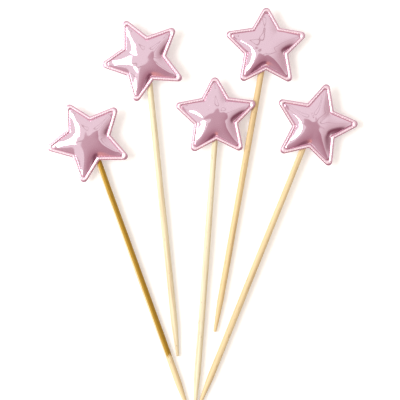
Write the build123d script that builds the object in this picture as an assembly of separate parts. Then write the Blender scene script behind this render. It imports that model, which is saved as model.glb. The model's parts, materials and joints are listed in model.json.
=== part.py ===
from build123d import *
import os
from math import asin, atan2, cos, degrees, pi, radians, sin, tan

# Set of padded star cake toppers: each is a star of two welded films round a foam pad,
# on a bamboo stick that is pushed through the back film and held by hot glue.
# Millimetres, +Z up. The set lies fanned out on a table, fronts up, and the origin is
# the middle of its footprint on that table.

# Star outline
ARMS = 5
POINT_RADIUS = 23.8        # centre to where an arm's two edges would meet
NOTCH_RADIUS = 11.65       # centre to where two arms meet
POINT_ROUND = 1.9          # radius on the end of an arm
NOTCH_ROUND = 0.8          # radius in the corner between two arms

# Padded star
FILM = 0.4                 # thickness of each film
RIM_WIDTH = 2.0            # flat weld all round, where the two films are joined
FRONT_CROWN = 3.0          # height of the front above the weld
PAD_CLEARANCE = 0.1        # between the foam pad and what it touches
BACK_PADDING = 1.0         # foam between the glued stick and the back film
CROWN_SECTIONS = 5         # outlines above the first that shape a crown
CROWN_SWEEP = 75.0         # degrees of the quarter ellipse that a crown follows before its flat top
RIDGE_SHARE = 0.6          # share of an edge that is rounded off at the top of a crown

# Bamboo stick
STICK_LENGTH = 152.0
STICK_DIAMETER = 3.2       # full thickness, over the stretch that is pushed into the cake
SHANK_LENGTH = 60.0        # length of that stretch
HEAD_DIAMETER = 3.0        # the end in the star is a little thinner
STICK_POINT_LENGTH = 16.0
STICK_POINT_DIAMETER = 1.4
STICK_POINT_ROUND = 0.4

# How the stick sits in the star
RIM_CLEARANCE = 0.25       # between the stick and the weld that it passes under
SLIT_CLEARANCE = 0.1       # round the stick in the back film and the pad
GLUE = 0.3                 # thickness of the glue round the end of the stick
GLUE_LENGTH = 4.5

# How the set lies on the table, one value for each topper from left to right.
# Headings are degrees that a stick turns from straight down the table, anticlockwise. The
# middle topper has none of its own: it lies with one arm of its star across the stick beside it.
FREE_HEADINGS = {0: 19.8, 1: 5.9, 3: -10.1, 4: -22.0}
CROSSING, CROSSED = 2, 3
CROSSING_ARM = 4           # which arm of the star, counted anticlockwise from the upper one
ARM_OVERLAP = 1.6          # how far that arm reaches over the stick from its near side
STAR_TURNS = (10.1, 20.2, 5.8, 9.8, 5.9)           # each star on its own stick, degrees
LEANS = (-4.0, -4.0, 0.4, 4.0, 5.0)                # about the stick, degrees, right side down
STAR_SHIFTS = (-1.2, -1.75, -0.5, 0.0, 1.2)        # star centre to the right of its stick
PUSH_DEPTHS = (5.8, 2.25, 6.9, 7.0, -0.5)          # how far a stick runs past its star's centre
FEET_X = (-5.3, -11.1, -2.5, 7.5, -0.7)            # where the tip of each stick lies
FEET_Y = (-107.0, -78.3, -103.0, -66.1, -103.5)

MEASURING_STEP = 0.01      # how closely a surface is followed when a topper is laid down

# Worked out from the sizes above
HALF_STEP = pi / ARMS
POINT_ANGLE = atan2(NOTCH_RADIUS * sin(HALF_STEP), POINT_RADIUS - NOTCH_RADIUS * cos(HALF_STEP))
NOTCH_TURN = pi / 2 - POINT_ANGLE - HALF_STEP
EDGE_DISTANCE = POINT_RADIUS * sin(POINT_ANGLE)    # centre to the line of every edge
EDGE_LENGTH = NOTCH_RADIUS * sin(HALF_STEP) / sin(POINT_ANGLE)
STICK_RADIUS = STICK_DIAMETER / 2
HEAD_RADIUS = HEAD_DIAMETER / 2
HEAD_LENGTH = POINT_RADIUS + max(PUSH_DEPTHS)
STICK_DROP = FILM + RIM_CLEARANCE + HEAD_RADIUS    # weld to the middle of the stick
BACK_CROWN = STICK_DROP + HEAD_RADIUS + GLUE + BACK_PADDING + FILM


def polar(radius, angle, z):
    """Point at a radius and angle, with angle 0 along +Y."""
    return Vector(-radius * sin(angle), radius * cos(angle), z)


def star_face(inset, z, point_round, notch_round):
    """Star outline drawn in by inset, at height z: lines joined by arcs at points and notches."""
    scale = 1 - inset / EDGE_DISTANCE
    point, notch = POINT_RADIUS * scale, NOTCH_RADIUS * scale
    point_share = point_round / tan(POINT_ANGLE) / (EDGE_LENGTH * scale)
    notch_share = notch_round * tan(NOTCH_TURN) / (EDGE_LENGTH * scale)
    point_middle = point - point_round / sin(POINT_ANGLE) + point_round
    notch_middle = notch + notch_round / cos(NOTCH_TURN) - notch_round
    edges = []
    for arm in range(ARMS):
        middle = 2 * arm * HALF_STEP
        tip = polar(point, middle, z)
        before, after = polar(notch, middle - HALF_STEP, z), polar(notch, middle + HALF_STEP, z)
        following = polar(point, middle + 2 * HALF_STEP, z)
        rise_start = before + (tip - before) * notch_share
        rise_end = tip + (before - tip) * point_share
        fall_start = tip + (after - tip) * point_share
        fall_end = after + (tip - after) * notch_share
        next_start = after + (following - after) * notch_share
        edges.append(Edge.make_line(rise_start, rise_end))
        edges.append(Edge.make_three_point_arc(rise_end, polar(point_middle, middle, z), fall_start))
        edges.append(Edge.make_line(fall_start, fall_end))
        corner = polar(notch_middle, middle + HALF_STEP, z)
        edges.append(Edge.make_three_point_arc(fall_end, corner, next_start))
    return Face(Wire(edges))


def crown(inset, height):
    """Puffed half star on the weld plane: outlines that draw in along a quarter ellipse to a flat top."""
    sweep = radians(CROWN_SWEEP)
    base = EDGE_DISTANCE - inset
    base_share = POINT_ROUND / tan(POINT_ANGLE) / EDGE_LENGTH
    sections = []
    for level in range(CROWN_SECTIONS + 1):
        part = level / CROWN_SECTIONS
        reach = base * cos(sweep * part)
        edge = EDGE_LENGTH * reach / EDGE_DISTANCE
        ridge = base_share + (RIDGE_SHARE - base_share) * part
        point_round = ridge * edge * tan(POINT_ANGLE)
        notch_round = NOTCH_ROUND * reach / EDGE_DISTANCE
        z = height * sin(sweep * part) / sin(sweep)
        sections.append(star_face(EDGE_DISTANCE - reach, z, point_round, notch_round))
    return loft(sections)


def film_half(height):
    """One film: the flat weld all round and the crown, formed from one sheet."""
    flange = extrude(star_face(0, 0, POINT_ROUND, NOTCH_ROUND), FILM, dir=(0, 0, 1))
    return flange + crown(RIM_WIDTH, height) - crown(RIM_WIDTH + FILM, height - FILM)


def behind(shape):
    """The same shape on the other side of the weld."""
    return mirror(shape, about=Plane.XY)


def foam_pad():
    """Foam that fills both films, clear of them all round."""
    inset = RIM_WIDTH + FILM + PAD_CLEARANCE
    front = crown(inset, FRONT_CROWN - FILM - PAD_CLEARANCE)
    back = behind(crown(inset, BACK_CROWN - FILM - PAD_CLEARANCE))
    return front + back


def rod(radius, start, end):
    """Round bar along +Y between two places on the stick's axis."""
    bar = Cylinder(radius, end - start, rotation=(90, 0, 0))
    return Pos(0, (start + end) / 2, 0) * bar


def bamboo_stick(push):
    """Sharpened bamboo skewer along Y, with its tip towards -Y and its head inside the star."""
    foot = push - STICK_LENGTH
    shoulder = foot + STICK_POINT_LENGTH
    profile = Polyline(
        (0, foot),
        (STICK_POINT_DIAMETER / 2, foot),
        (STICK_RADIUS, shoulder),
        (STICK_RADIUS, shoulder + SHANK_LENGTH),
        (HEAD_RADIUS, push - HEAD_LENGTH),
        (HEAD_RADIUS, push),
        (0, push),
        close=True,
    )
    stick = revolve(make_face(profile), axis=Axis.Y)
    tip_edge = stick.edges().filter_by(GeomType.CIRCLE).sort_by(Axis.Y)[0]
    return fillet(tip_edge, STICK_POINT_ROUND)


def glue_cap(push, stick):
    """Hot glue round the end of the stick, inside the pad."""
    return rod(HEAD_RADIUS + GLUE, push - GLUE_LENGTH, push + GLUE) - stick


def topper_pieces(number, front, pad, back):
    """The five pieces of one topper, about its stick's axis, with the star's centre over the origin."""
    push = PUSH_DEPTHS[number]
    on_stick = Pos(STAR_SHIFTS[number], 0, STICK_DROP) * Rot(0, 0, STAR_TURNS[number])
    stick = bamboo_stick(push)
    glue = glue_cap(push, stick)
    slit = rod(HEAD_RADIUS + SLIT_CLEARANCE, push - HEAD_LENGTH, push + SLIT_CLEARANCE)
    pocket_start, pocket_end = push - GLUE_LENGTH - PAD_CLEARANCE, push + GLUE + PAD_CLEARANCE
    pocket = rod(HEAD_RADIUS + GLUE + PAD_CLEARANCE, pocket_start, pocket_end)
    return {
        "front_film": on_stick * front,
        "foam_pad": on_stick * pad - slit - pocket,
        "back_film": on_stick * back - slit,
        "bamboo_stick": stick,
        "glue_cap": glue,
    }


def surface_points(shape):
    """Points all over a shape's surface, close enough together to measure its reach."""
    return shape.tessellate(MEASURING_STEP)[0]


def lowest(shape):
    """Height of the lowest point of a shape."""
    return min(point.Z for point in surface_points(shape))


def crossing_heading():
    """Heading that lays an arm of one star across the stick beside it, as far as the overlap."""
    end = POINT_RADIUS - POINT_ROUND / sin(POINT_ANGLE) + POINT_ROUND
    arm = radians(STAR_TURNS[CROSSING]) + 2 * CROSSING_ARM * HALF_STEP
    star = Vector(STAR_SHIFTS[CROSSING], STICK_LENGTH - PUSH_DEPTHS[CROSSING], 0)
    reach = star + polar(end, arm, 0)
    heading = radians(FREE_HEADINGS[CROSSED])
    gap = Vector(FEET_X[CROSSING] - FEET_X[CROSSED], FEET_Y[CROSSING] - FEET_Y[CROSSED], 0)
    across = gap.X * cos(heading) + gap.Y * sin(heading)
    turn = atan2(reach.X, reach.Y) - asin((ARM_OVERLAP - STICK_RADIUS - across) / reach.length)
    return FREE_HEADINGS[CROSSED] + degrees(turn)


def resting_place(number, pieces):
    """Where a topper lies: leaned about its stick, then tipped until star and stick both touch the table."""
    lean = Rot(0, LEANS[number], 0)
    star_low = lowest(lean * pieces["back_film"])
    reach = STICK_LENGTH - STICK_POINT_LENGTH - PUSH_DEPTHS[number]
    tip = Rot(degrees(asin((-star_low - STICK_RADIUS) / reach)), 0, 0)
    low = min(lowest(tip * lean * pieces[name]) for name in ("back_film", "bamboo_stick"))
    turn = Rot(0, 0, FREE_HEADINGS[number] if number in FREE_HEADINGS else crossing_heading())
    foot = turn * tip * lean * Pos(0, PUSH_DEPTHS[number] - STICK_LENGTH, 0)
    away = Vector(FEET_X[number], FEET_Y[number], -low) - Vector(foot.position.X, foot.position.Y, 0)
    return Pos(*away) * turn * tip * lean


def fanned_set():
    """All toppers where they lie, with the set's footprint centred on the origin."""
    front, pad, back = film_half(FRONT_CROWN), foam_pad(), behind(film_half(BACK_CROWN))
    loose = [topper_pieces(number, front, pad, back) for number in range(len(FEET_X))]
    places = [resting_place(number, pieces) for number, pieces in enumerate(loose)]
    points = []
    for place, pieces in zip(places, loose):
        points += surface_points(place * pieces["front_film"])
        points += surface_points(place * pieces["bamboo_stick"])
    middle_x = (min(point.X for point in points) + max(point.X for point in points)) / 2
    middle_y = (min(point.Y for point in points) + max(point.Y for point in points)) / 2
    centred = Pos(-middle_x, -middle_y, 0)
    return loose, [centred * place for place in places]


PIECES, PLACES = fanned_set()
os.makedirs("parts", exist_ok=True)
for number, (pieces, place) in enumerate(zip(PIECES, PLACES), start=1):
    for name, shape in pieces.items():
        export_step(place * shape, f"parts/{name}_{number}.step")
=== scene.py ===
import json
from math import atan2, cos, pi, sin, tan

import bmesh
import bpy
import numpy as np
from mathutils import Matrix, Vector, noise
from mathutils.geometry import delaunay_2d_cdt

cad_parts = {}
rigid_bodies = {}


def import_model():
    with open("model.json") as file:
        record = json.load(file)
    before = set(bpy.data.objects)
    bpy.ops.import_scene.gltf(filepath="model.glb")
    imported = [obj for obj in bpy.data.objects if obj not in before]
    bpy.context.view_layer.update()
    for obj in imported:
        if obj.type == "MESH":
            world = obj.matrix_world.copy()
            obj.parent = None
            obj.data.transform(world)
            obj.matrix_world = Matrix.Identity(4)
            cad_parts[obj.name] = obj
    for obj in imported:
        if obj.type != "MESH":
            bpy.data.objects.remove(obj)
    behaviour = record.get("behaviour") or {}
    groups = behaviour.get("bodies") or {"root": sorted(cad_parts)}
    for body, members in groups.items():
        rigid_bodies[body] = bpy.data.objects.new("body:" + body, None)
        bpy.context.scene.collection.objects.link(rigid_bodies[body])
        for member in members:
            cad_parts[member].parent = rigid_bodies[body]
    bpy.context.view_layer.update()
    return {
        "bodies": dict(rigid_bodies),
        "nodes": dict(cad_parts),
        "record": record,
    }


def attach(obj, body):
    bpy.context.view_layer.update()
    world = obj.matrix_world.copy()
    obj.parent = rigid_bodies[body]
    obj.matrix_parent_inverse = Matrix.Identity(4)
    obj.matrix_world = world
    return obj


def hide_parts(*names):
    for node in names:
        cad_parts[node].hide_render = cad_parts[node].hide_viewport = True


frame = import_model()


# Camera
# The set is seen from straight above, lying on a table, through a long lens, so the sticks
# stay parallel to the picture and the stars show only their fronts.
MM = 0.001
VIEW_CENTRE = (-1.0 * MM, 4.65 * MM)
VIEW_WIDTH = 200 * MM
VIEW_LEVEL = 5 * MM                  # height of the welded rims, where the picture is true to size
CAMERA_HEIGHT = 1.4
SENSOR_WIDTH = 36
SIGHT_END = 10

camera_data = bpy.data.cameras.new("table_camera")
camera_data.sensor_width = SENSOR_WIDTH
camera_data.lens = SENSOR_WIDTH * (CAMERA_HEIGHT - VIEW_LEVEL) / VIEW_WIDTH
camera_data.clip_end = SIGHT_END
camera = bpy.data.objects.new("table_camera", camera_data)
camera.location = (*VIEW_CENTRE, CAMERA_HEIGHT)
bpy.context.scene.collection.objects.link(camera)
bpy.context.scene.camera = camera
bpy.context.scene.view_settings.view_transform = "Standard"


# Table and light
# A plain white table top in a pale room, lit from the left through one large soft window. The film
# mirrors the room: a rounded screen and a red cloth on the near side, a dark corner, and a ring and
# a beam on the ceiling. Wood, foam and table get the room's warm light instead.
class Value:
    """A node socket in a Python expression: each operation adds one Math node."""

    def __init__(self, tree, socket):
        self.tree, self.socket = tree, socket

    def math(self, operation, first, second):
        return add_node(self.tree, "ShaderNodeMath", {"operation": operation}, {0: first, 1: second})

    def __add__(self, other):
        return self.math("ADD", self, other)

    def __sub__(self, other):
        return self.math("SUBTRACT", self, other)

    def __rsub__(self, other):
        return self.math("SUBTRACT", other, self)

    def __mul__(self, other):
        return self.math("MULTIPLY", self, other)

    def __truediv__(self, other):
        return self.math("DIVIDE", self, other)

    def __pow__(self, other):
        return self.math("POWER", self, other)

    __radd__, __rmul__ = __add__, __mul__

    def axis(self, name):
        """One axis of a vector."""
        return add_node(self.tree, "ShaderNodeSeparateXYZ", {}, {0: self}, out=name)

    def step(self, low, high):
        """0 below low, 1 above high, and a smooth rise between."""
        settings = {"interpolation_type": "SMOOTHSTEP"}
        return add_node(self.tree, "ShaderNodeMapRange", settings, {0: self, 1: low, 2: high})

    def ramp(self, low, high):
        """0 below low, 1 above high, and a straight rise between."""
        return add_node(self.tree, "ShaderNodeMapRange", {}, {0: self, 1: low, 2: high})

    def scaled(self, factors):
        """A vector with each axis multiplied by its own factor."""
        settings = {"operation": "MULTIPLY"}
        return add_node(self.tree, "ShaderNodeVectorMath", settings, {0: self, 1: factors})


def add_node(tree, kind, settings, sockets, out=0):
    """Adds a node: its settings first, then the values or links of its sockets."""
    node = tree.nodes.new(kind)
    for name, value in settings.items():
        setattr(node, name, value)
    for name, value in sockets.items():
        if isinstance(value, Value):
            tree.links.new(value.socket, node.inputs[name])
        else:
            node.inputs[name].default_value = value
    return Value(tree, node.outputs[out])


def mixed(tree, share, first, second):
    """Blend of two colours."""
    settings = {"data_type": "RGBA", "clamp_factor": True}
    return add_node(tree, "ShaderNodeMix", settings, {0: share, 6: first, 7: second}, out=2)


# A direction in the room has three parts: right, far and up. An edge is where a soft border
# starts and ends, and a bow is how fast an outline drops away to the sides.
PALE_WALL, SHADED_WALL = (1.0, 0.94, 0.93, 1), (0.70, 0.54, 0.55, 1)
SHADE_SLANT, SHADE_EDGE = 0.5, (0.05, 1.0)           # the walls get darker to the right and near
CEILING_LINE = (0.62, 0.47, 0.48, 1)
RING_MIDDLE, RING_SQUARE = 0.34, 0.022               # how far off the ring is, and its radius squared
RING_SHARPNESS, RING_EDGE = 30, (0.0002, 0.0012)
BEAM_MIDDLE, BEAM_SLANT, BEAM_EDGE = -0.03, 0.35, (0.0001, 0.0004)
SCREEN_LIT, SCREEN_DARK = (0.77, 0.60, 0.62, 1), (0.50, 0.27, 0.32, 1)
SCREEN_TOP, SCREEN_MIDDLE, SCREEN_BOW, SCREEN_EDGE = 0.10, 0.02, 3.0, (-0.03, 0.03)
SCREEN_RIGHT, SCREEN_NEAR, SCREEN_SPAN = 0.8, 0.4, (-0.3, 0.4)       # which way the screen darkens
CLOTH_RED = (0.84, 0.42, 0.38, 1)
CLOTH_BOW, CLOTH_EDGE = 2.0, (0.74, 0.95)
CORNER_DARK = (0.22, 0.06, 0.10, 1)
CORNER_RIGHT, CORNER_NEAR, CORNER_EDGE, CORNER_RISE = 0.7, 0.71, (0.62, 0.88), (-0.3, 0.4)
WINDOW_LIGHT, FAR_LIGHT = (1.10, 1.04, 0.99, 1), (0.62, 0.52, 0.43, 1)
LIGHT_SPAN = (-0.7, 0.7)

room = bpy.data.worlds.new("room")
room.use_nodes = True
room.node_tree.nodes.clear()
bpy.context.scene.world = room
tree = room.node_tree
way = add_node(tree, "ShaderNodeTexCoord", {}, {}, out="Generated")
right, far, up = way.axis("X"), way.axis("Y"), way.axis("Z")
aside, beyond = right - SCREEN_MIDDLE, far - RING_MIDDLE
screen = (SCREEN_TOP - far - aside * aside * SCREEN_BOW).step(*SCREEN_EDGE)
red_cloth = (0 - far - right * right * CLOTH_BOW).step(*CLOTH_EDGE)
dark_corner = (right * CORNER_RIGHT - far * CORNER_NEAR).step(*CORNER_EDGE) * up.ramp(*CORNER_RISE)
off_ring = right * right + beyond * beyond - RING_SQUARE
off_beam = far - right * BEAM_SLANT - BEAM_MIDDLE
lines = 1 - (off_ring * off_ring * RING_SHARPNESS).step(*RING_EDGE)
lines = lines + 1 - (off_beam * off_beam).step(*BEAM_EDGE)
walls = mixed(tree, lines, PALE_WALL, CEILING_LINE)
walls = mixed(tree, (right - far * SHADE_SLANT).step(*SHADE_EDGE), walls, SHADED_WALL)
screen_shade = (right * SCREEN_RIGHT - far * SCREEN_NEAR).ramp(*SCREEN_SPAN)
walls = mixed(tree, screen, walls, mixed(tree, screen_shade, SCREEN_LIT, SCREEN_DARK))
walls = mixed(tree, red_cloth, walls, CLOTH_RED)
walls = mixed(tree, dark_corner, walls, CORNER_DARK)
room_light = mixed(tree, right.ramp(*LIGHT_SPAN), WINDOW_LIGHT, FAR_LIGHT)
unmirrored = add_node(tree, "ShaderNodeLightPath", {}, {}, out="Is Diffuse Ray")
seen_room = mixed(tree, unmirrored, walls, room_light)
background = add_node(tree, "ShaderNodeBackground", {}, {"Color": seen_room, "Strength": 1.0})
output = tree.nodes.new("ShaderNodeOutputWorld")
tree.links.new(background.socket, output.inputs["Surface"])

WINDOW_PLACE, WINDOW_AIM = Vector((-0.66, 0.06, 0.74)), Vector((0, 0.03, 0))
WINDOW_WIDTH, WINDOW_HEIGHT = 0.62, 0.46
WINDOW_WATTS = 6.5
window_lamp = bpy.data.lights.new("window", "AREA")
window_lamp.shape, window_lamp.energy = "RECTANGLE", WINDOW_WATTS
window_lamp.size, window_lamp.size_y = WINDOW_WIDTH, WINDOW_HEIGHT
window = bpy.data.objects.new("window", window_lamp)
window_turn = (WINDOW_AIM - WINDOW_PLACE).to_track_quat("-Z", "Y").to_matrix().to_4x4()
window.matrix_world = Matrix.Translation(WINDOW_PLACE) @ window_turn
bpy.context.scene.collection.objects.link(window)

TABLE_SIZE = 12.0
TABLE_GAP = 0.05 * MM
TABLE_WHITE = (0.86, 0.86, 0.86, 1)
TABLE_ROUGHNESS, TABLE_SHINE = 0.6, 0.2
TABLE_GLOW = (0.25, 0.25, 0.25, 1)   # brings the lit table up to white where it is seen or mirrored
NO_GLOW = (0, 0, 0, 1)
table_mesh = bpy.data.meshes.new("table_top")
half_table = TABLE_SIZE / 2
corners = [(-half_table, -half_table), (half_table, -half_table),
           (half_table, half_table), (-half_table, half_table)]
table_mesh.from_pydata([(x, y, -TABLE_GAP) for x, y in corners], [], [(0, 1, 2, 3)])
table = bpy.data.objects.new("table_top", table_mesh)
bpy.context.scene.collection.objects.link(table)
table_paint = bpy.data.materials.new("table_white")
table_paint.use_nodes = True
tree = table_paint.node_tree
rays = tree.nodes.new("ShaderNodeLightPath").outputs
by_eye, by_mirror, through_glass = [
    Value(tree, rays[f"Is {kind} Ray"]) for kind in ("Camera", "Glossy", "Transmission")
]
paint = tree.nodes["Principled BSDF"]
paint.inputs["Base Color"].default_value = TABLE_WHITE
paint.inputs["Roughness"].default_value = TABLE_ROUGHNESS
paint.inputs["Specular IOR Level"].default_value = TABLE_SHINE
paint.inputs["Emission Strength"].default_value = 1.0
glow = mixed(tree, by_eye + by_mirror + through_glass, NO_GLOW, TABLE_GLOW)
tree.links.new(glow.socket, paint.inputs["Emission Color"])
table_mesh.materials.append(table_paint)


# Front films
# Bright metallised film, formed into a puffed star and welded to the film behind it along a rim.
# The weld leaves a thin fin at the cut edge, a raised bead and a sunk line at the foot of the puff.
ARMS = 5
POINT_RADIUS, NOTCH_RADIUS = 23.8, 11.65     # sizes of the star in millimetres, about its own centre
POINT_ROUND, NOTCH_ROUND = 1.9, 0.8
RIM_WIDTH = 2.0
FOOT_POINT_ROUND, FOOT_NOTCH_ROUND = 0.9, 1.1
FRONT_CROWN, BACK_CROWN = 3.0, 5.35
FOOT_HEIGHT = 0.45                           # top of the weld where the puff begins
BEAD_HEIGHT = 0.62
RIM_PROFILE = (                              # share of the rim's width from the cut edge, height
    (0.00, 0.03), (0.015, 0.12), (0.04, 0.15), (0.08, 0.16), (0.18, 0.16), (0.21, 0.18), (0.25, 0.30),
    (0.31, 0.47), (0.39, 0.59), (0.46, BEAD_HEIGHT), (0.53, 0.59), (0.62, 0.47), (0.70, 0.32),
    (0.78, 0.23), (0.87, 0.23), (0.94, 0.31), (1.00, FOOT_HEIGHT),
)
LINE_STEPS, POINT_STEPS, NOTCH_STEPS = 24, 10, 6
PUFF_STEP = 0.5                              # spacing of the points on the puff
PUFF_SPARE = 0.7                             # least gap from them to the rows at the foot, in steps
FOOT_ROWS = (0.3, 0.7)                       # rows of points that follow its foot, this far inside
KEEP_INSIDE, SAME_POINT = 1, 1e-6            # how the blank is cut into triangles

HALF_STEP = pi / ARMS
POINT_ANGLE = atan2(NOTCH_RADIUS * sin(HALF_STEP), POINT_RADIUS - NOTCH_RADIUS * cos(HALF_STEP))
NOTCH_TURN = pi / 2 - POINT_ANGLE - HALF_STEP
EDGE_DISTANCE = POINT_RADIUS * sin(POINT_ANGLE)


def polar(radius, angle):
    """Point of the star's plane, with angle 0 along its first arm."""
    return Vector((-radius * sin(angle), radius * cos(angle)))


def arc(start, middle, end, steps):
    """Points along the arc through three points, without its end."""
    chord, rise = end - start, (middle - (start + end) / 2).length
    radius = rise / 2 + chord.length ** 2 / (8 * rise)
    centre = middle + ((start + end) / 2 - middle).normalized() * radius
    first = start - centre
    turn = first.angle_signed(end - centre)
    return [centre + Matrix.Rotation(-turn * step / steps, 2) @ first for step in range(steps)]


def star_outline(inset, point_round, notch_round):
    """The star drawn in by inset, anticlockwise: straight edges, rounded points and notches."""
    scale = 1 - inset / EDGE_DISTANCE
    point, notch = POINT_RADIUS * scale, NOTCH_RADIUS * scale
    point_cut, notch_cut = point_round / tan(POINT_ANGLE), notch_round * tan(NOTCH_TURN)
    point_end = point - point_round / sin(POINT_ANGLE) + point_round
    notch_end = notch + notch_round / cos(NOTCH_TURN) - notch_round
    points = []
    for arm in range(ARMS):
        middle = 2 * arm * HALF_STEP
        tip, following = polar(point, middle), polar(point, middle + 2 * HALF_STEP)
        before, after = polar(notch, middle - HALF_STEP), polar(notch, middle + HALF_STEP)
        out, back = (tip - before).normalized(), (after - tip).normalized()
        onward = (following - after).normalized()
        rise = [before + out * notch_cut, tip - out * point_cut]
        fall = [tip + back * point_cut, after - back * notch_cut]
        points += [rise[0].lerp(rise[1], step / LINE_STEPS) for step in range(LINE_STEPS)]
        points += arc(rise[1], polar(point_end, middle), fall[0], POINT_STEPS)
        points += [fall[0].lerp(fall[1], step / LINE_STEPS) for step in range(LINE_STEPS)]
        corner = polar(notch_end, middle + HALF_STEP)
        points += arc(fall[1], corner, after + onward * notch_cut, NOTCH_STEPS)
    return points


CUT_EDGE = star_outline(0, POINT_ROUND, NOTCH_ROUND)
PUFF_FOOT = star_outline(RIM_WIDTH, FOOT_POINT_ROUND, FOOT_NOTCH_ROUND)


def round_trip(count):
    """The edges of a closed ring of points."""
    return [(step, (step + 1) % count) for step in range(count)]


def foot_points():
    """The foot of the puff and the rows inside it, a row's points at least half a step apart."""
    points = list(PUFF_FOOT)
    for inset in FOOT_ROWS:
        row = star_outline(RIM_WIDTH + inset, FOOT_POINT_ROUND - inset, FOOT_NOTCH_ROUND + inset)
        kept = row[:1]
        for point in row[1:]:
            if (point - kept[-1]).length > PUFF_STEP / 2:
                kept.append(point)
        points += kept
    return points


def puff_blank():
    """Flat film inside the weld: even triangles whose first points are the foot of the puff."""
    row_step = PUFF_STEP * sin(pi / 3)
    rows, columns = int(2 * POINT_RADIUS / row_step), int(2 * POINT_RADIUS / PUFF_STEP)
    row, column = np.divmod(np.arange(rows * columns), columns)
    x, y = (column + row % 2 / 2) * PUFF_STEP - POINT_RADIUS, row * row_step - POINT_RADIUS
    points = foot_points()
    foot = np.array(points)
    gaps = np.hypot(x[:, None] - foot[:, 0], y[:, None] - foot[:, 1]).min(axis=1)
    fold = np.abs((np.arctan2(-x, y) + HALF_STEP) % (2 * HALF_STEP) - HALF_STEP)
    edge = (EDGE_DISTANCE - RIM_WIDTH - FOOT_ROWS[-1]) / np.cos(fold - (pi / 2 - POINT_ANGLE))
    kept = (np.hypot(x, y) < edge) & (gaps > PUFF_STEP * PUFF_SPARE)
    points += [Vector(spot) for spot in zip(x[kept], y[kept])]
    made = delaunay_2d_cdt(points, round_trip(len(PUFF_FOOT)), [], KEEP_INSIDE, SAME_POINT)
    order = [origins[0] for origins in made[3]]
    return points, [[order[corner] for corner in face] for face in made[2]]


def bake(piece):
    """Gives a piece the mesh that its modifiers make of it."""
    depsgraph = bpy.context.evaluated_depsgraph_get()
    shaped = bpy.data.meshes.new_from_object(piece.evaluated_get(depsgraph))
    piece.modifiers.clear()
    piece.data = shaped


def new_piece(name, mesh):
    """An object for a mesh, in the scene."""
    piece = bpy.data.objects.new(name, mesh)
    bpy.context.scene.collection.objects.link(piece)
    return piece


SMOOTH_PASSES, LEAST_SHARE = 40, 0.05


def evened(height, flat, triangles):
    """Heights smoothed over uneven triangles, with the foot held. A neighbour counts by the
    cotangents of the angles that face its edge, so an even slope stays even, and always for
    a little."""
    starts, ends, shares = [], [], []
    for step in range(3):
        apex, left, right = triangles[:, step], triangles[:, step - 1], triangles[:, step - 2]
        one, two = flat[left] - flat[apex], flat[right] - flat[apex]
        cotangent = (one * two).sum(axis=1) / np.abs(one[:, 0] * two[:, 1] - one[:, 1] * two[:, 0])
        starts += [left, right]
        ends += [right, left]
        shares += [np.maximum(cotangent, LEAST_SHARE)] * 2
    starts, ends, shares = np.concatenate(starts), np.concatenate(ends), np.concatenate(shares)
    inside = np.arange(len(height)) >= len(PUFF_FOOT)
    total = np.where(inside, np.bincount(starts, shares, minlength=len(height)), 1)
    for _ in range(SMOOTH_PASSES):
        near = np.bincount(starts, shares * height[ends], minlength=len(height)) / total
        height = np.where(inside, (height + near) / 2, height)
    return height


SIM_SCALE = 0.05             # the film is blown up at a larger size, where the cloth solver is steady
SIM_FRAMES, SIM_QUALITY = 24, 6
FILM_MASS, AIR_DAMPING = 0.2, 2.0
STIFFNESS, BENDING = 12, 0.4
PRESSURE = 6.0
FULLNESS = 2.2               # how much the foam behind it fills the film's sides and flattens its top


def puffed(points, triangles):
    """The blank blown up with its foot held in the weld: places in the star's plane, and
    heights from 0 to 1."""
    mesh = bpy.data.meshes.new("film_blank")
    mesh.from_pydata([(*point * SIM_SCALE, 0) for point in points], [], triangles)
    blank = new_piece("film_blank", mesh)
    blank.vertex_groups.new(name="weld").add(list(range(len(PUFF_FOOT))), 1.0, "REPLACE")
    cloth = blank.modifiers.new("blow_up", "CLOTH")
    film = cloth.settings
    film.quality, film.mass, film.air_damping = SIM_QUALITY, FILM_MASS, AIR_DAMPING
    film.tension_stiffness = film.compression_stiffness = film.shear_stiffness = STIFFNESS
    film.bending_stiffness = BENDING
    film.effector_weights.gravity = 0
    film.vertex_group_mass = "weld"
    film.use_pressure, film.uniform_pressure_force = True, PRESSURE
    cloth.point_cache.frame_end = SIM_FRAMES
    for step in range(1, SIM_FRAMES + 1):
        bpy.context.scene.frame_set(step)
    bake(blank)
    places = np.array([vertex.co for vertex in blank.data.vertices]) / SIM_SCALE
    bpy.data.objects.remove(blank)
    bpy.context.scene.frame_set(1)
    share = np.clip(places[:, 2] / places[:, 2].max(), 0, 1)
    height = 1 - (1 - share) ** FULLNESS
    height = evened(height, places[:, :2], np.array(triangles))
    return np.column_stack([places[:, :2], height / height.max()])


puff_points, puff_triangles = puff_blank()
puff = puffed(puff_points, puff_triangles)


def film_half(crown, rim_scale):
    """Points, faces and rim share of one film, from the cut edge over the bead to the top of
    the puff."""
    foot = FOOT_HEIGHT * rim_scale
    points, rim = [], []
    for share, height in RIM_PROFILE[:-1]:
        row = [outer.lerp(inner, share) for outer, inner in zip(CUT_EDGE, PUFF_FOOT)]
        points += [(*spot, height * rim_scale) for spot in row]
        rim += [1 - share] * len(CUT_EDGE)
    first, count = len(points), len(CUT_EDGE)
    points += [(x, y, foot + (crown - foot) * share) for x, y, share in puff]
    rim += [0.0] * len(puff)
    faces = []
    for low in range(0, first, count):
        for step, following in round_trip(count):
            faces.append((low + step, low + following, low + count + following, low + count + step))
    faces += [[first + corner for corner in triangle] for triangle in puff_triangles]
    return np.array(points), faces, np.array(rim)


WELD_DEPTH = 0.5 * MM                        # faces this close to the lowest one are the weld's flat
FACING_DOWN = -0.999


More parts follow.
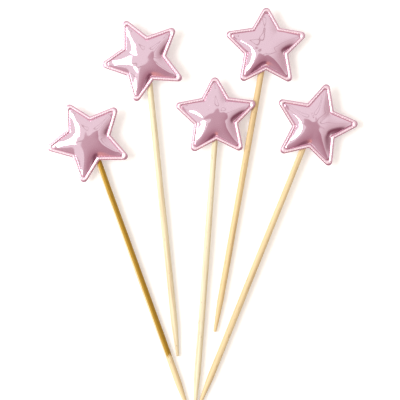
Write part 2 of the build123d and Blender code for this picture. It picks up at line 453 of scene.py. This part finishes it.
def star_place(number):
    """Where a star lies, from the flat weld of its CAD film: millimetres about the star's
    centre to the frame of the set."""
    faces = frame["nodes"][f"front_film_{number}"].data.polygons
    areas = np.array([face.area for face in faces])
    normals = np.array([face.normal for face in faces])
    middles = np.array([face.center for face in faces])
    kind = np.unique(np.round(normals, 3), axis=0, return_inverse=True)[1].ravel()
    totals = np.bincount(kind, areas * (normals[:, 2] < 0))
    up = -normals[kind == totals.argmax()].mean(axis=0)
    up /= np.linalg.norm(up)
    heights = middles @ up
    weld = (normals @ up < FACING_DOWN) & (heights < heights.min() + WELD_DEPTH)
    centre = (middles * areas[:, None])[weld].sum(axis=0) / areas[weld].sum()
    across = np.cross((0, 1, 0), up)
    across /= np.linalg.norm(across)
    along = np.cross(up, across)
    spread = ((middles - centre) @ along - 1j * ((middles - centre) @ across)) / POINT_RADIUS / MM
    turn = np.angle((spread ** ARMS * areas)[weld].sum()) / ARMS
    basis = Matrix(np.column_stack([across, along, up]).tolist()).to_4x4()
    return Matrix.Translation(centre) @ basis @ Matrix.Rotation(turn, 4, "Z") @ Matrix.Scale(MM, 4)


def finish(name):
    """A new material, with its node tree and its Principled shader."""
    material = bpy.data.materials.new(name)
    material.use_nodes = True
    return material, material.node_tree, material.node_tree.nodes["Principled BSDF"]


def feed(tree, shader, sockets):
    """Sets or links sockets of a shader."""
    for name, value in sockets.items():
        if isinstance(value, Value):
            tree.links.new(value.socket, shader.inputs[name])
        else:
            shader.inputs[name].default_value = value


def stored_place(tree):
    """A point's place in the star, as the piece's mesh keeps it."""
    return add_node(tree, "ShaderNodeAttribute", {"attribute_name": "star_place"}, {}, out="Vector")


def stored_number(tree, name):
    """A number that the piece's mesh keeps on its points."""
    return add_node(tree, "ShaderNodeAttribute", {"attribute_name": name}, {}, out="Fac")


ROSE, PALE_ROSE = (0.79, 0.60, 0.70, 1), (0.81, 0.625, 0.72, 1)
# The bead's colour is painted paler as a highlight; the fin's and groove's are painted deeper as shade.
BEAD_SHEEN_ROSE, GROOVE_SHADE_ROSE, FIN_SHADE_ROSE = (0.93, 0.76, 0.84, 1), (0.74, 0.44, 0.55, 1), (0.66, 0.40, 0.50, 1)
FIN_END = (0.19, 0.27)                       # shares of the rim's width, from the cut edge
BEAD_START, BEAD_END = (0.22, 0.34), (0.58, 0.74)
GROOVE_START, GROOVE_END = (0.66, 0.8), (0.93, 1.0)
HAZE_PER_MM, HAZE_DETAIL, HAZE_EDGE = 3.0, 3.0, (0.35, 0.7)
MIRROR_ROUGHNESS, HAZE_ROUGHNESS = 0.05, 0.03
BEAD_ROUGHNESS, FIN_ROUGHNESS, GROOVE_ROUGHNESS = 0.3, 0.15, 0.12
MIRROR_METAL, BEAD_DULLNESS = 0.95, 0.45


def film_finish():
    """Rose-pink mirror film, with a duller bead where the weld has stretched it, painted paler as a
    highlight, and a fin and groove painted deeper pink as the shade at the cut edge and in the groove."""
    material, tree, shader = finish("rose_film")
    rim = 1 - stored_number(tree, "rim")
    fin = 1 - rim.step(*FIN_END)
    bead = rim.step(*BEAD_START) * (1 - rim.step(*BEAD_END))
    groove = rim.step(*GROOVE_START) * (1 - rim.step(*GROOVE_END))
    sockets = {"Vector": stored_place(tree), "Scale": HAZE_PER_MM, "Detail": HAZE_DETAIL}
    haze = add_node(tree, "ShaderNodeTexNoise", {}, sockets)
    pink = mixed(tree, haze.step(*HAZE_EDGE), ROSE, PALE_ROSE)
    # Painted highlight on the bead, then painted shade in the groove and along the fin.
    pink = mixed(tree, bead, pink, BEAD_SHEEN_ROSE)
    pink = mixed(tree, groove, pink, GROOVE_SHADE_ROSE)
    pink = mixed(tree, fin, pink, FIN_SHADE_ROSE)
    rough = MIRROR_ROUGHNESS + haze * HAZE_ROUGHNESS + bead * BEAD_ROUGHNESS
    rough = rough + fin * FIN_ROUGHNESS + groove * GROOVE_ROUGHNESS
    metal = MIRROR_METAL - bead * BEAD_DULLNESS
    feed(tree, shader, {"Base Color": pink, "Roughness": rough, "Metallic": metal})
    return material


STARS = range(1, len(frame["bodies"]) + 1)
FILM_THICKNESS = 0.2
WAVE_HEIGHT, WAVE_LENGTH = 0.12, 9.0
WAVE_SEED = 7.3                                      # how far apart two films' waves are drawn
FOLD_WIDTH, FOLD_START, FOLD_END = 1.1, 1.5, 6.0     # a fold runs from a notch towards the centre
FOLDS = (                                            # depth of the fold from each notch, star by star
    (0.10, 0.00, 0.00, 0.05, 0.16),
    (0.22, 0.05, 0.00, 0.05, 0.18),
    (0.10, 0.20, 0.00, 0.06, 0.12),
    (0.05, 0.08, 0.05, 0.10, 0.04),
    (0.20, 0.06, 0.05, 0.12, 0.18),
)
PUFF_SLOPES = (                                      # how steeply a front rises to the right and the top
    (0.04, 0.02), (0.06, 0.00), (0.05, 0.02), (-0.04, -0.11), (0.00, -0.01),
)
ARM_CUTS = (                                         # how much shorter each arm is, star by star
    (1.4, 0.8, 0.0, -0.6, 0.0),
    (0.2, 0.8, 0.0, -0.6, -0.4),
    (2.0, 0.8, 0.8, 0.4, 0.5),
    (2.2, 0.5, 0.6, 0.4, 1.0),
    (0.0, -0.7, -0.7, 0.0, 0.0),
)
ARM_START = NOTCH_RADIUS * cos(HALF_STEP)
rose_film = film_finish()


def trim_arms(places, number):
    """Draws in the shorter arms of a star and lets out the longer ones."""
    for arm, cut in enumerate(ARM_CUTS[number - 1]):
        outward = np.array(polar(1, 2 * arm * HALF_STEP))
        share = np.clip((places[:, :2] @ outward - ARM_START) / (POINT_RADIUS - ARM_START), 0, 1)
        places[:, :2] -= cut * share[:, None] * outward


def puff_slope(places, number):
    """How much higher the front of a star is at each place than an even puff of full height."""
    slope_x, slope_y = PUFF_SLOPES[number - 1]
    return slope_x * places[:, 0] + slope_y * places[:, 1]


def film_piece(name, number, half, side, seed):
    """One film of one star with its own waves and folds, laid where the CAD film is; side is -1
    behind the weld."""
    points, faces, rim = half
    places = points.copy()
    lift = np.clip(places[:, 2] / FRONT_CROWN, 0, 1) * (rim == 0)
    spots = np.column_stack([places[:, :2] / WAVE_LENGTH, np.full(len(places), WAVE_SEED * seed)])
    waves = np.array([noise.noise(Vector(spot)) for spot in spots])
    if side > 0:
        places[:, 2] += lift * (WAVE_HEIGHT * waves + puff_slope(places, number))
    else:
        places[:, 2] -= lift * WAVE_HEIGHT * (1 + waves)
    for notch, depth in enumerate(FOLDS[number - 1]):
        x, y = polar(1, (2 * notch + 1) * HALF_STEP)
        along, across = places[:, 0] * x + places[:, 1] * y, places[:, 0] * y - places[:, 1] * x
        run = np.clip((along - FOLD_START) / (FOLD_END - FOLD_START), 0, 1)
        places[:, 2] -= depth * lift * run * run * (3 - 2 * run) * np.exp(-(across / FOLD_WIDTH) ** 2)
    places[:, 2] *= side
    trim_arms(places, number)
    mesh = bpy.data.meshes.new(name)
    mesh.from_pydata(places, [], faces if side > 0 else [face[::-1] for face in faces])
    mesh.attributes.new("star_place", "FLOAT_VECTOR", "POINT").data.foreach_set("vector", places.ravel())
    mesh.attributes.new("rim", "FLOAT", "POINT").data.foreach_set("value", rim)
    mesh.transform(star_place(number))
    mesh.shade_smooth()
    mesh.materials.append(rose_film)
    piece = new_piece(name, mesh)
    thick = piece.modifiers.new("film", "SOLIDIFY")
    thick.thickness, thick.offset = FILM_THICKNESS * MM, -1
    bake(piece)
    return piece


front_half = film_half(FRONT_CROWN, 1.0)
for number in STARS:
    front = film_piece(f"front_star_{number}", number, front_half, 1, number)
    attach(front, f"topper_{number}")
    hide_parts(f"front_film_{number}")


# Back films
# The same film behind each star, puffed further to go round the stick. The stick is pushed in
# through a slit in it, and its rim is the other half of the weld.
BACK_RIM = 0.8                               # the bead stands up less behind the weld
STICK_LENGTH = 152.0
POINT_LENGTH, SHANK_LENGTH = 16.0, 60.0      # its sharpened end, and the thickest stretch above that
HEAD_LENGTH = 30.8                           # the thinner end that goes into the star
SLIT_RADIUS = 1.6
DRILL_SIDES = 32


def stick_place(number):
    """Where a stick lies, from its mount in the record: millimetres from its tip, along +Y, to
    the frame of the set."""
    name = f"stick_{number}_shank"
    mount = next(spot for spot in frame["record"]["mounts"] if spot["name"] == name)
    along = -Vector(mount["axis"])
    across = along.cross((0, 0, 1)).normalized()
    basis = Matrix((across, along, across.cross(along))).transposed().to_4x4()
    tip = Vector(mount["pos_m"]) - along * (POINT_LENGTH + SHANK_LENGTH / 2) * MM
    return Matrix.Translation(tip) @ basis @ Matrix.Scale(MM, 4)


def drill(piece, number, radius):
    """Cuts the way of the stick's head out of a piece."""
    shape = bmesh.new()
    bmesh.ops.create_cone(
        shape, cap_ends=True, segments=DRILL_SIDES, radius1=radius, radius2=radius, depth=HEAD_LENGTH,
        matrix=Matrix.Translation((0, STICK_LENGTH - HEAD_LENGTH / 2, 0)) @ Matrix.Rotation(pi / 2, 4, "X"),
    )
    mesh = bpy.data.meshes.new("drill")
    shape.to_mesh(mesh)
    shape.free()
    mesh.transform(stick_place(number))
    cutter = new_piece("drill", mesh)
    cut = piece.modifiers.new("slit", "BOOLEAN")
    cut.object, cut.operation, cut.solver = cutter, "DIFFERENCE", "EXACT"
    bake(piece)
    bpy.data.objects.remove(cutter)


back_half = film_half(BACK_CROWN, BACK_RIM)
for number in STARS:
    back = film_piece(f"back_star_{number}", number, back_half, -1, number + len(STARS))
    drill(back, number, SLIT_RADIUS)
    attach(back, f"topper_{number}")
    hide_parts(f"back_film_{number}")


# Weld ribs
# The welding tool presses a row of short slanted ribs into the bead, all round both sides of a
# star. They are the film itself, so they have its finish.
RIB_PITCH = 1.3
RIB_PLACE = 0.45                             # where the top of the bead is, as a share of the rim's width
RIB_RUN, RIB_REACH = 0.75, 0.5               # half of a rib's length, along the bead and across it
RIB_BOW = 0.3                                # how far its ends follow the bead down
RIB_RADIUS, RIB_TAPER = 0.14, 0.8            # in the middle, and how much thinner it is at its ends
RIB_POINTS, RIB_SIDES = 7, 6


def geometry_tree(name, inputs):
    """A new geometry tree, with a value for each of its named inputs."""
    tree = bpy.data.node_groups.new(name, "GeometryNodeTree")
    for label, kind in inputs.items():
        tree.interface.new_socket(label, in_out="INPUT", socket_type=f"NodeSocket{kind}")
    tree.interface.new_socket("Result", in_out="OUTPUT", socket_type="NodeSocketGeometry")
    sockets = tree.nodes.new("NodeGroupInput").outputs
    return tree, [Value(tree, sockets[label]) for label in inputs]


def end_tree(tree, geometry, material):
    """Ends a geometry tree: real, smooth meshes of one material."""
    real = add_node(tree, "GeometryNodeRealizeInstances", {}, {"Geometry": geometry})
    smooth = add_node(tree, "GeometryNodeSetShadeSmooth", {}, {"Geometry": real})
    painted = add_node(tree, "GeometryNodeSetMaterial", {}, {"Geometry": smooth, "Material": material})
    tree.links.new(painted.socket, tree.nodes.new("NodeGroupOutput").inputs["Result"])


def grown(name, mesh, tree, values):
    """A piece that a geometry tree makes from a mesh, with the tree's inputs set by name."""
    piece = new_piece(name, mesh)
    modifier = piece.modifiers.new(tree.name, "NODES")
    modifier.node_group = tree
    for item in tree.interface.items_tree:
        if item.name in values:
            modifier[item.identifier] = values[item.name]
    bake(piece)
    return piece


def vector(tree, x, y, z):
    """A vector of three values."""
    return add_node(tree, "ShaderNodeCombineXYZ", {}, {0: x, 1: y, 2: z})


def stored(tree, geometry, name, kind, value):
    """Geometry with an attribute on its points."""
    sockets = {"Geometry": geometry, "Name": name, "Value": value}
    return add_node(tree, "GeometryNodeStoreNamedAttribute", {"data_type": kind}, sockets)


def resampled(tree, curve, count):
    """A curve of evenly spaced points."""
    return add_node(tree, "GeometryNodeResampleCurve", {"mode": "COUNT"}, {"Curve": curve, "Count": count})


def rib_tree():
    """Ribs along a ring on the bead, each a thin bent bar, and the same ribs behind the weld."""
    tree, (ring, pitch, run, reach, bow, radius, rim, material) = geometry_tree("weld_ribs", {
        "Ring": "Geometry", "Pitch": "Float", "Run": "Float", "Reach": "Float", "Bow": "Float",
        "Radius": "Float", "Rim": "Float", "Material": "Material",
    })
    place = add_node(tree, "GeometryNodeInputPosition", {}, {})
    path = add_node(tree, "GeometryNodeMeshToCurve", {}, {"Mesh": ring})
    path = add_node(tree, "GeometryNodeResampleCurve", {"mode": "LENGTH"}, {"Curve": path, "Length": pitch})
    ahead = add_node(tree, "GeometryNodeInputTangent", {}, {})
    heading = ahead.math("ARCTAN2", ahead.axis("Y"), ahead.axis("X"))
    turn = add_node(tree, "FunctionNodeEulerToRotation", {}, {"Euler": vector(tree, 0.0, 0.0, heading)})
    ends = {"Start": vector(tree, run * -1, reach * -1, 0.0), "End": vector(tree, run, reach, 0.0)}
    bar = resampled(tree, add_node(tree, "GeometryNodeCurvePrimitiveLine", {}, ends), RIB_POINTS)
    aside = place.axis("Y") / reach
    sunk = vector(tree, 0.0, 0.0, aside * aside * bow * -1)
    bar = add_node(tree, "GeometryNodeSetPosition", {}, {"Geometry": bar, "Offset": sunk})
    sockets = {"Resolution": RIB_SIDES, "Radius": radius}
    section = add_node(tree, "GeometryNodeCurvePrimitiveCircle", {}, sockets)
    thinner = 1 - aside * aside * RIB_TAPER
    sockets = {"Curve": bar, "Profile Curve": section, "Scale": thinner, "Fill Caps": True}
    rib = add_node(tree, "GeometryNodeCurveToMesh", {}, sockets)
    sockets = {"Points": path, "Instance": rib, "Rotation": turn}
    ribs = add_node(tree, "GeometryNodeInstanceOnPoints", {}, sockets)
    front = add_node(tree, "GeometryNodeRealizeInstances", {}, {"Geometry": ribs})
    behind = add_node(tree, "GeometryNodeTransform", {}, {"Geometry": front, "Scale": (1, 1, -BACK_RIM)})
    behind = add_node(tree, "GeometryNodeFlipFaces", {}, {"Mesh": behind})
    both = add_node(tree, "GeometryNodeJoinGeometry", {}, {"Geometry": front})
    tree.links.new(behind.socket, both.socket.node.inputs["Geometry"])
    both = stored(tree, stored(tree, both, "star_place", "FLOAT_VECTOR", place), "rim", "FLOAT", rim)
    end_tree(tree, both, material)
    return tree


weld_ribs = rib_tree()
crest = [(*outer.lerp(inner, RIB_PLACE), BEAD_HEIGHT) for outer, inner in zip(CUT_EDGE, PUFF_FOOT)]
for number in STARS:
    bead_ring = np.array(crest)
    trim_arms(bead_ring, number)
    ring_mesh = bpy.data.meshes.new(f"weld_ribs_{number}")
    ring_mesh.from_pydata(bead_ring, round_trip(len(crest)), [])
    ribs = grown(f"weld_ribs_{number}", ring_mesh, weld_ribs, {
        "Pitch": RIB_PITCH, "Run": RIB_RUN, "Reach": RIB_REACH, "Bow": RIB_BOW,
        "Radius": RIB_RADIUS, "Rim": 1 - RIB_PLACE, "Material": rose_film,
    })
    ribs.data.transform(star_place(number))
    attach(ribs, f"topper_{number}")


# Foam pads
# White foam that fills each star and keeps its films tight. It is cut to the star's shape and
# has a channel for the stick and the glue at its end.
PAD_SCALE, PAD_CLEARANCE = 0.955, 0.6
CHANNEL_RADIUS = 1.9                         # round the stick and the glue
FOAM_SHADE, FOAM_WHITE = (0.80, 0.78, 0.74, 1), (0.92, 0.91, 0.88, 1)
PORES_PER_MM = 2.5
PORE_DEPTH, PORE_STRENGTH = 0.2 * MM, 0.5
FOAM_ROUGHNESS = 0.95
pad_front, pad_back = FRONT_CROWN - PAD_CLEARANCE, BACK_CROWN - PAD_CLEARANCE
foam, tree, shader = finish("foam")
sockets = {"Vector": stored_place(tree), "Scale": PORES_PER_MM}
cells = add_node(tree, "ShaderNodeTexVoronoi", {}, sockets, out="Distance")
sockets = {"Strength": PORE_STRENGTH, "Distance": PORE_DEPTH, "Height": cells}
pores = add_node(tree, "ShaderNodeBump", {}, sockets)
foam_white = mixed(tree, cells, FOAM_SHADE, FOAM_WHITE)
feed(tree, shader, {"Base Color": foam_white, "Roughness": FOAM_ROUGHNESS, "Normal": pores})

count, foot = len(puff), len(PUFF_FOOT)
shrunk = puff * (PAD_SCALE, PAD_SCALE, 1)
under = [
    [corner if corner < foot else corner + count - foot for corner in face[::-1]]
    for face in puff_triangles
]
for number in STARS:
    top, bottom = shrunk * (1, 1, pad_front), shrunk[foot:] * (1, 1, -pad_back)
    top[:, 2] += shrunk[:, 2] * puff_slope(shrunk, number)
    spots = np.vstack([top, bottom])
    trim_arms(spots, number)
    mesh = bpy.data.meshes.new(f"star_foam_{number}")
    mesh.from_pydata(spots, [], puff_triangles + under)
    mesh.attributes.new("star_place", "FLOAT_VECTOR", "POINT").data.foreach_set("vector", spots.ravel())
    mesh.transform(star_place(number))
    mesh.shade_smooth()
    mesh.materials.append(foam)
    pad = new_piece(f"star_foam_{number}", mesh)
    drill(pad, number, CHANNEL_RADIUS)
    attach(pad, f"topper_{number}")
    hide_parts(f"foam_pad_{number}")


# Bamboo sticks
# Split bamboo, turned nearly round, sharpened at the foot and a little thinner in the star. The
# first stick is lacquered gold down to a ragged edge above its point. Along its left, window side
# it is left bare, a painted highlight of pale wood. The others are bare.
SHANK_RADIUS, HEAD_RADIUS, TIP_RADIUS = 1.6, 1.5, 0.7
NOSE = 0.4                                   # rounding of the sharpened end
FLAT_DEPTH = 0.5                             # how far the turned stick is from round
STICK_RINGS, STICK_SIDES = 180, 24
RING_CROWDING = 1.5                          # how much closer the rings are at the tip
STICK_SEED = 31.0                            # how far apart two sticks' grain is drawn
HOLLOW_GRAIN, HOLLOW_DETAIL = (0.5, 0.02, 0.5), 2.0  # scale of a pattern across and along the stick
FIBRE_GRAIN, FIBRE_DETAIL = (2.6, 0.05, 2.6), 4.0
STREAK_GRAIN, STREAK_DETAIL = (0.8, 0.02, 0.8), 2.0
SPECK_GRAIN, SPECK_DETAIL = (1.6, 0.3, 1.6), 2.0
CREAM, GOLDEN = (0.80, 0.74, 0.54, 1), (0.74, 0.55, 0.27, 1)
STREAK_BROWN, STREAK_EDGE, STREAK_SHARE = (0.60, 0.42, 0.21, 1), (0.45, 0.72), 0.6
FIBRE_BROWN, FIBRE_EDGE, FIBRE_SHARE = (0.45, 0.29, 0.13, 1), (0.5, 0.75), 0.4
SPECK_BROWN, SPECK_EDGE, SPECK_SHARE = (0.26, 0.15, 0.06, 1), (0.66, 0.74), 0.5
FIBRE_DEPTH, FIBRE_STRENGTH = 0.1 * MM, 0.35
WOOD_ROUGHNESS, FIBRE_ROUGHNESS = 0.45, 0.2
TONES = (0.6, 0.15, 0.0, 0.85, 0.7)          # from cream to golden, stick by stick
LACQUERED = 1
LIGHT_GOLD, DEEP_GOLD = (0.42, 0.25, 0.022, 1), (0.35, 0.20, 0.015, 1)
LACQUER_METAL, LACQUER_COAT, COAT_ROUGHNESS = 0.7, 0.15, 0.2
SPECK_WEAR = 0.35                            # how much of the lacquer is gone on a speck
LACQUER_EDGE, LACQUER_RAG = 31.0, 6.0        # millimetres from the tip, and how ragged the edge is
LACQUER_FADE = 0.4
LIT_STRIP_SIDE, LIT_STRIP_RAG, LIT_STRIP_FADE = -0.95, 0.4, 0.1     # left of this, on the window's side, the gold is left off as a painted highlight


def grain_noise(tree, grain, scale, detail):
    """Noise drawn out along a stick."""
    sockets = {"Vector": grain.scaled(scale), "Scale": 1.0, "Detail": detail}
    return add_node(tree, "ShaderNodeTexNoise", {}, sockets)


def stick_tree():
    """A stick from its tip along +Y, as a line of growing rings, with its grain stored for the
    material."""
    labels = ("Length", "Point length", "Shank length", "Head length", "Tip radius", "Shank radius",
              "Head radius", "Nose", "Flat depth", "Seed", "Tone")
    inputs = {label: "Float" for label in labels} | {"Material": "Material"}
    tree, values = geometry_tree("bamboo_stick", inputs)
    length, point_length, shank_length, head_length, *others = values
    tip, shank, head, nose, flat, seed, tone, material = others
    place = add_node(tree, "GeometryNodeInputPosition", {}, {})
    line = add_node(tree, "GeometryNodeCurvePrimitiveLine", {}, {"End": (0, 1, 0)})
    line = resampled(tree, line, STICK_RINGS)
    crowded = vector(tree, 0.0, place.axis("Y") ** RING_CROWDING * length, 0.0)
    line = add_node(tree, "GeometryNodeSetPosition", {}, {"Geometry": line, "Position": crowded})
    along = place.axis("Y")
    blunt = 1 - along.ramp(0.0, nose)
    thicker = (shank - tip) * along.ramp(0.0, point_length)
    thinner = (shank - head) * along.ramp(point_length + shank_length, length - head_length)
    radius = tip + thicker - thinner - nose * blunt * blunt
    sockets = {"Resolution": STICK_SIDES, "Radius": 1.0}
    section = add_node(tree, "GeometryNodeCurvePrimitiveCircle", {}, sockets)
    sockets = {"Curve": line, "Profile Curve": section, "Scale": radius, "Fill Caps": True}
    stick = add_node(tree, "GeometryNodeCurveToMesh", {}, sockets)
    apart = vector(tree, seed, 0.0, seed)
    grain = add_node(tree, "ShaderNodeVectorMath", {"operation": "ADD"}, {0: place, 1: apart})
    depth = (grain_noise(tree, grain, HOLLOW_GRAIN, HOLLOW_DETAIL) - 0.5) * flat
    normal = add_node(tree, "GeometryNodeInputNormal", {}, {})
    moved = add_node(tree, "ShaderNodeVectorMath", {"operation": "SCALE"}, {0: normal, "Scale": depth})
    stick = stored(tree, stored(tree, stick, "grain", "FLOAT_VECTOR", grain), "tone", "FLOAT", tone)
    stick = stored(tree, stick, "across", "FLOAT", place.axis("X"))
    stick = add_node(tree, "GeometryNodeSetPosition", {}, {"Geometry": stick, "Offset": moved})
    end_tree(tree, stick, material)
    return tree


def bamboo_finish(name, lacquered):
    """Bare bamboo with long fibres and dark specks; lacquered, it is gold down to a ragged edge, with
    a strip of bare wood on the window's side as a painted highlight.
    """
    material, tree, shader = finish(name)
    grain = add_node(tree, "ShaderNodeAttribute", {"attribute_name": "grain"}, {}, out="Vector")
    fibres = grain_noise(tree, grain, FIBRE_GRAIN, FIBRE_DETAIL)
    streaks = grain_noise(tree, grain, STREAK_GRAIN, STREAK_DETAIL)
    specks = grain_noise(tree, grain, SPECK_GRAIN, SPECK_DETAIL).step(*SPECK_EDGE)
    wood = mixed(tree, stored_number(tree, "tone"), CREAM, GOLDEN)
    wood = mixed(tree, streaks.step(*STREAK_EDGE) * STREAK_SHARE, wood, STREAK_BROWN)
    wood = mixed(tree, fibres.step(*FIBRE_EDGE) * FIBRE_SHARE, wood, FIBRE_BROWN)
    wood = mixed(tree, specks * SPECK_SHARE, wood, SPECK_BROWN)
    sockets = {"Strength": FIBRE_STRENGTH, "Distance": FIBRE_DEPTH, "Height": fibres}
    bump = add_node(tree, "ShaderNodeBump", {}, sockets)
    rough = WOOD_ROUGHNESS + fibres * FIBRE_ROUGHNESS
    if lacquered:
        rag = streaks - fibres
        height = grain.axis("Y") + rag * LACQUER_RAG
        lacquer = height.step(LACQUER_EDGE - LACQUER_FADE, LACQUER_EDGE + LACQUER_FADE)
        # A strip on the left, the window side, is kept bare: a painted highlight of pale wood.
        across = stored_number(tree, "across") + rag * LIT_STRIP_RAG
        outside_lit_strip = across.step(LIT_STRIP_SIDE - LIT_STRIP_FADE, LIT_STRIP_SIDE + LIT_STRIP_FADE)
        gold_after_wear_and_lit_strip = lacquer * outside_lit_strip * (1 - specks * SPECK_WEAR)
        wood = mixed(tree, gold_after_wear_and_lit_strip, wood, mixed(tree, fibres, LIGHT_GOLD, DEEP_GOLD))
        sockets = {"Metallic": gold_after_wear_and_lit_strip * LACQUER_METAL, "Coat Weight": gold_after_wear_and_lit_strip * LACQUER_COAT}
        feed(tree, shader, sockets | {"Coat Roughness": COAT_ROUGHNESS})
    feed(tree, shader, {"Base Color": wood, "Roughness": rough, "Normal": bump})
    return material


stick_shape = stick_tree()
bare_bamboo, gold_bamboo = bamboo_finish("bamboo", False), bamboo_finish("gold_bamboo", True)
for number in STARS:
    lacquered = number == LACQUERED
    stick = grown(f"skewer_{number}", bpy.data.meshes.new(f"skewer_{number}"), stick_shape, {
        "Length": STICK_LENGTH, "Point length": POINT_LENGTH, "Shank length": SHANK_LENGTH,
        "Head length": HEAD_LENGTH, "Tip radius": TIP_RADIUS, "Shank radius": SHANK_RADIUS,
        "Head radius": HEAD_RADIUS, "Nose": NOSE, "Flat depth": FLAT_DEPTH, "Seed": STICK_SEED * number,
        "Tone": TONES[number - 1], "Material": gold_bamboo if lacquered else bare_bamboo,
    })
    stick.data.transform(stick_place(number))
    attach(stick, f"topper_{number}")
    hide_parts(f"bamboo_stick_{number}")


# Glue caps
# A blob of milky hot glue round the end of each stick, deep in the foam. It holds the stick in
# the star and keeps the shape of its CAD node.
GLUE_SHADE, GLUE_WHITE = (0.78, 0.75, 0.66, 1), (0.90, 0.88, 0.82, 1)
CLOUDS_PER_METRE, CLOUD_DETAIL = 900.0, 2.0
GLUE_ROUGHNESS, CLOUD_ROUGHNESS = 0.25, 0.1
GLUE_MILKINESS = 0.3
glue, tree, shader = finish("hot_glue")
place = add_node(tree, "ShaderNodeTexCoord", {}, {}, out="Object")
sockets = {"Vector": place, "Scale": CLOUDS_PER_METRE, "Detail": CLOUD_DETAIL}
cloud = add_node(tree, "ShaderNodeTexNoise", {}, sockets)
milky = mixed(tree, cloud, GLUE_SHADE, GLUE_WHITE)
rough = GLUE_ROUGHNESS + cloud * CLOUD_ROUGHNESS
feed(tree, shader, {"Base Color": milky, "Roughness": rough, "Subsurface Weight": GLUE_MILKINESS})
for number in STARS:
    cap = frame["nodes"][f"glue_cap_{number}"]
    cap.data.materials.clear()
    cap.data.materials.append(glue)
